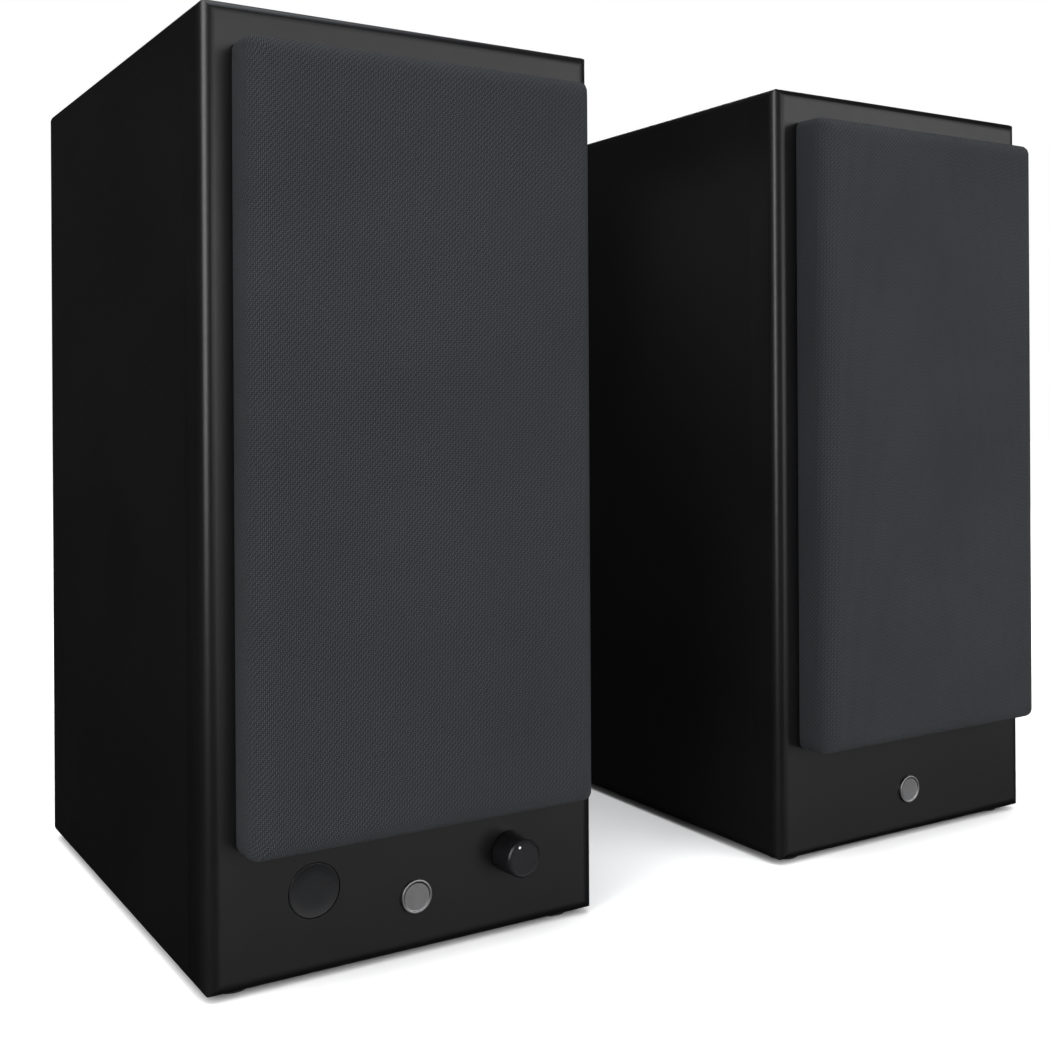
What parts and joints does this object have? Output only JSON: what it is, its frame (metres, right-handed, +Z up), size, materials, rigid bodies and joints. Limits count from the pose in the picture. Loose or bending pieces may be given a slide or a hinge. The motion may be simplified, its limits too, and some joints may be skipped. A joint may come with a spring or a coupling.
{
  "type": "desktop speaker pair",
  "caption": "Pair of powered desktop speakers: black box cabinets with pull-off cloth grilles, two-way drivers, a volume knob and a status window in front, and sockets behind.",
  "frame": {"origin": "on the floor, at the middle of the pair: halfway between the outer sides, and halfway from the grilles' faces to the tips of the rear terminals", "axes": "+X to the right as a listener faces the pair, +Y towards the rear, +Z up; the fronts face -Y"},
  "size_m": [0.434, 0.264, 0.355],
  "materials": {
    "satin_black": "fibreboard with a smooth satin black skin",
    "black_plastic": "moulded black plastic, fine grain",
    "grille_cloth": "charcoal twill cloth",
    "driver_frame": "pressed steel, black powder coat",
    "woofer_cone": "dark grey woven cone",
    "dust_cap": "dark grey, soft sheen",
    "surround_rubber": "matt black rubber",
    "spider_fabric": "tan impregnated cloth",
    "copper": "enamelled copper wire",
    "ferrite": "dark grey ferrite",
    "plain_steel": "zinc plated",
    "dome_fabric": "coated black cloth",
    "circuit_board": "green board with parts",
    "wadding": "white polyester",
    "black_rubber": "matt black rubber",
    "brushed_metal": "turned and bright",
    "black_screws": "black oxide",
    "knob_metal": "black, fine satin with a bright ring",
    "smoked_window": "smoked clear plastic",
    "amp_plate": "black powder coat",
    "plated_sockets": "nickel plated",
    "plated_posts": "gold plated",
    "red_plastic": "clear red plastic"
  },
  "bodies": {
    "cabinets": {"active_cabinet": "satin_black", "active_baffle": "satin_black", "active_back_panel": "satin_black", "passive_cabinet": "satin_black", "passive_baffle": "satin_black", "passive_back_panel": "satin_black", "active_woofer_frame": "driver_frame", "active_woofer_magnet": "ferrite", "active_woofer_pole_pieces": "plain_steel", "passive_woofer_frame": "driver_frame", "passive_woofer_magnet": "ferrite", "passive_woofer_pole_pieces": "plain_steel", "active_tweeter_faceplate": "black_plastic", "active_tweeter_motor": "ferrite", "passive_tweeter_faceplate": "black_plastic", "passive_tweeter_motor": "ferrite", "active_port_tube": "black_plastic", "passive_port_tube": "black_plastic", "active_crossover": "circuit_board", "passive_crossover": "circuit_board", "wadding": "wadding", "feet": "black_rubber", "grille_cups": "black_rubber", "badges": "brushed_metal", "driver_screws": "black_screws", "plate_screws": "black_screws", "volume_control": "plain_steel", "status_window": "smoked_window", "status_board": "circuit_board", "amp_plate": "amp_plate", "amp_board": "circuit_board", "transformer": "copper", "mains_inlet": "black_plastic", "power_switch": "black_plastic", "line_sockets": "plated_sockets", "terminal_cup": "black_plastic", "binding_posts": "plated_posts"},
    "active_grille": {"active_grille_frame": "black_plastic", "active_grille_cloth": "grille_cloth"},
    "passive_grille": {"passive_grille_frame": "black_plastic", "passive_grille_cloth": "grille_cloth"},
    "active_woofer_moving": {"active_woofer_cone": "woofer_cone", "active_woofer_dust_cap": "dust_cap", "active_woofer_coil": "copper", "active_woofer_surround": "surround_rubber", "active_woofer_spider": "spider_fabric"},
    "passive_woofer_moving": {"passive_woofer_cone": "woofer_cone", "passive_woofer_dust_cap": "dust_cap", "passive_woofer_coil": "copper", "passive_woofer_surround": "surround_rubber", "passive_woofer_spider": "spider_fabric"},
    "active_tweeter_moving": {"active_tweeter_dome": "dome_fabric"},
    "passive_tweeter_moving": {"passive_tweeter_dome": "dome_fabric"},
    "volume": {"volume_knob": "knob_metal", "volume_shaft": "plain_steel"},
    "rocker": {"power_rocker": "black_plastic"},
    "active_red_terminal": {"active_red_cap": "red_plastic"},
    "active_black_terminal": {"active_black_cap": "black_plastic"},
    "passive_red_terminal": {"passive_red_cap": "red_plastic"},
    "passive_black_terminal": {"passive_black_cap": "black_plastic"}
  },
  "joints": [
    {"name": "active_grille_pull", "type": "slide", "parent": "cabinets", "child": "active_grille", "axis": [0, -1, 0], "range_m": [0, 0.06]},
    {"name": "active_woofer_travel", "type": "slide", "parent": "cabinets", "child": "active_woofer_moving", "axis": [0, -1, 0], "range_m": [-0.004, 0.004], "stiffness_N_per_m": 1200, "deforming": ["active_woofer_surround", "active_woofer_spider"]},
    {"name": "active_tweeter_travel", "type": "slide", "parent": "cabinets", "child": "active_tweeter_moving", "axis": [0, -1, 0], "range_m": [-0.0003, 0.0003], "stiffness_N_per_m": 3000},
    {"name": "passive_grille_pull", "type": "slide", "parent": "cabinets", "child": "passive_grille", "axis": [0, -1, 0], "range_m": [0, 0.06]},
    {"name": "passive_woofer_travel", "type": "slide", "parent": "cabinets", "child": "passive_woofer_moving", "axis": [0, -1, 0], "range_m": [-0.004, 0.004], "stiffness_N_per_m": 1200, "deforming": ["passive_woofer_surround", "passive_woofer_spider"]},
    {"name": "passive_tweeter_travel", "type": "slide", "parent": "cabinets", "child": "passive_tweeter_moving", "axis": [0, -1, 0], "range_m": [-0.0003, 0.0003], "stiffness_N_per_m": 3000},
    {"name": "volume_turn", "type": "hinge", "parent": "cabinets", "child": "volume", "pos_m": [-0.0925, -0.112, 0.0335], "axis": [0, 1, 0], "range_deg": [-126, 174]},
    {"name": "power_rock", "type": "hinge", "parent": "cabinets", "child": "rocker", "pos_m": [-0.148, 0.1155, 0.055], "axis": [1, 0, 0], "range_deg": [0, 16]},
    {"name": "active_red_cap_turn", "type": "hinge", "parent": "cabinets", "child": "active_red_terminal", "pos_m": [-0.169, 0.123, 0.117], "axis": [0, 1, 0], "range_deg": [-1080, 0]},
    {"name": "active_black_cap_turn", "type": "hinge", "parent": "cabinets", "child": "active_black_terminal", "pos_m": [-0.147, 0.123, 0.117], "axis": [0, 1, 0], "range_deg": [-1080, 0]},
    {"name": "passive_red_cap_turn", "type": "hinge", "parent": "cabinets", "child": "passive_red_terminal", "pos_m": [0.123, 0.105, 0.1], "axis": [0, 1, 0], "range_deg": [-1080, 0]},
    {"name": "passive_black_cap_turn", "type": "hinge", "parent": "cabinets", "child": "passive_black_terminal", "pos_m": [0.145, 0.105, 0.1], "axis": [0, 1, 0], "range_deg": [-1080, 0]}
  ]
}
